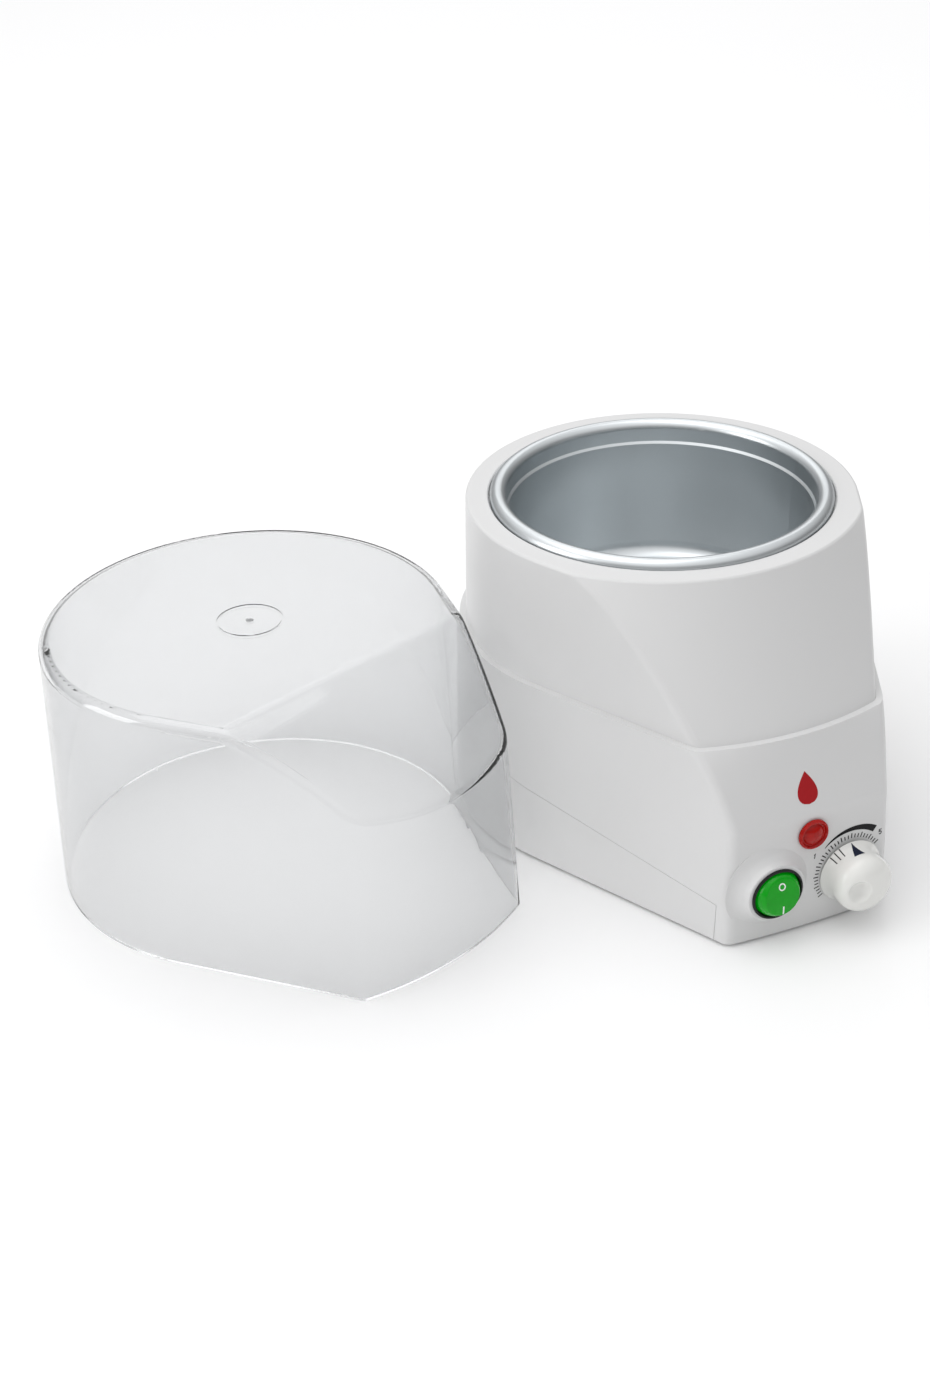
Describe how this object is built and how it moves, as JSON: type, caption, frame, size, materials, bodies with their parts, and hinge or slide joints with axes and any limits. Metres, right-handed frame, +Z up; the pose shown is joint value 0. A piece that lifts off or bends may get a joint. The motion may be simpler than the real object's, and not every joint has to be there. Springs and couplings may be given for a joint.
{
  "type": "wax heater",
  "caption": "Table-top heater for depilatory wax: lift-out aluminium pot in a moulded body with thermostat knob, lit rocker switch and pilot lamp, and a clear dust lid beside it.",
  "frame": {"origin": "on the surface it stands on, directly under the pot's axis", "axes": "+Z up along the pot's axis, -Y towards the control panel at the front, +Y towards the cord inlet at the back, +X to the user's right"},
  "size_m": [0.3415, 0.2463, 0.1366],
  "materials": {
    "abs_white": "glossy moulded ABS, light grey-white",
    "aluminium_pot": "spun aluminium, satin",
    "aluminium_well": "drawn aluminium, as drawn",
    "clear_plastic": "clear moulded acrylic",
    "knob_white": "glossy moulded plastic, warm white",
    "switch_black": "black nylon",
    "rocker_green": "translucent green polycarbonate",
    "lamp_red": "translucent red polycarbonate",
    "feet_rubber": "moulded rubber",
    "zinc_steel": "zinc-plated steel",
    "brass_tab": "plain brass",
    "mica_band": "mica and stainless heating band",
    "glass_wool": "woven glass-fibre insulation",
    "copper_bulb": "copper bulb and capillary",
    "bakelite": "brown phenolic moulding",
    "nylon_block": "natural nylon",
    "wire_brown": "silicone insulation, brown",
    "wire_blue": "silicone insulation, blue",
    "wire_white": "silicone insulation, white"
  },
  "bodies": {
    "housing": {"upper_housing": "abs_white", "lower_housing": "abs_white", "base_tray": "abs_white", "rubber_feet": "feet_rubber", "housing_screws": "zinc_steel", "heater_well": "aluminium_well", "heating_band": "mica_band", "band_clamp": "zinc_steel", "band_clamp_screw": "zinc_steel", "insulation_sleeve": "glass_wool", "insulation_pad": "glass_wool", "well_bracket": "zinc_steel", "bracket_screws": "zinc_steel", "thermostat_bulb": "copper_bulb", "bulb_clip": "zinc_steel", "thermal_fuse": "copper_bulb", "fuse_clip": "zinc_steel", "capillary_tube": "copper_bulb", "thermostat_body": "bakelite", "thermostat_nut": "zinc_steel", "thermostat_tabs": "brass_tab", "switch_bezel": "switch_black", "rocker_pin": "zinc_steel", "switch_terminals": "brass_tab", "lamp_lens": "lamp_red", "lamp_body": "switch_black", "lamp_nut": "zinc_steel", "cord_gland": "switch_black", "terminal_block": "nylon_block", "terminal_screws": "zinc_steel", "earth_screw": "zinc_steel", "live_wire": "wire_brown", "neutral_wire": "wire_blue", "feed_wire": "wire_brown", "heater_wire": "wire_white", "return_wire": "wire_white"},
    "pot": {"wax_pot": "aluminium_pot"},
    "lid": {"clear_lid": "clear_plastic"},
    "knob": {"thermostat_knob": "knob_white", "thermostat_shaft": "zinc_steel"},
    "rocker": {"switch_rocker": "rocker_green"}
  },
  "joints": [
    {"name": "pot_lift", "type": "slide", "parent": "housing", "child": "pot", "axis": [0, 0, 1], "range_m": [0, 0.1]},
    {"name": "lid_lift", "type": "slide", "parent": "housing", "child": "lid", "axis": [0, 0, 1], "range_m": [0, 0.2]},
    {"name": "knob_turn", "type": "hinge", "parent": "housing", "child": "knob", "pos_m": [0.0174, -0.12541, 0.0212], "axis": [0, -1, 0], "range_deg": [-59, 120]},
    {"name": "rocker_tilt", "type": "hinge", "parent": "housing", "child": "rocker", "pos_m": [-0.0174, -0.12754, 0.0235], "axis": [1, 0, 0], "range_deg": [0, 18]}
  ]
}
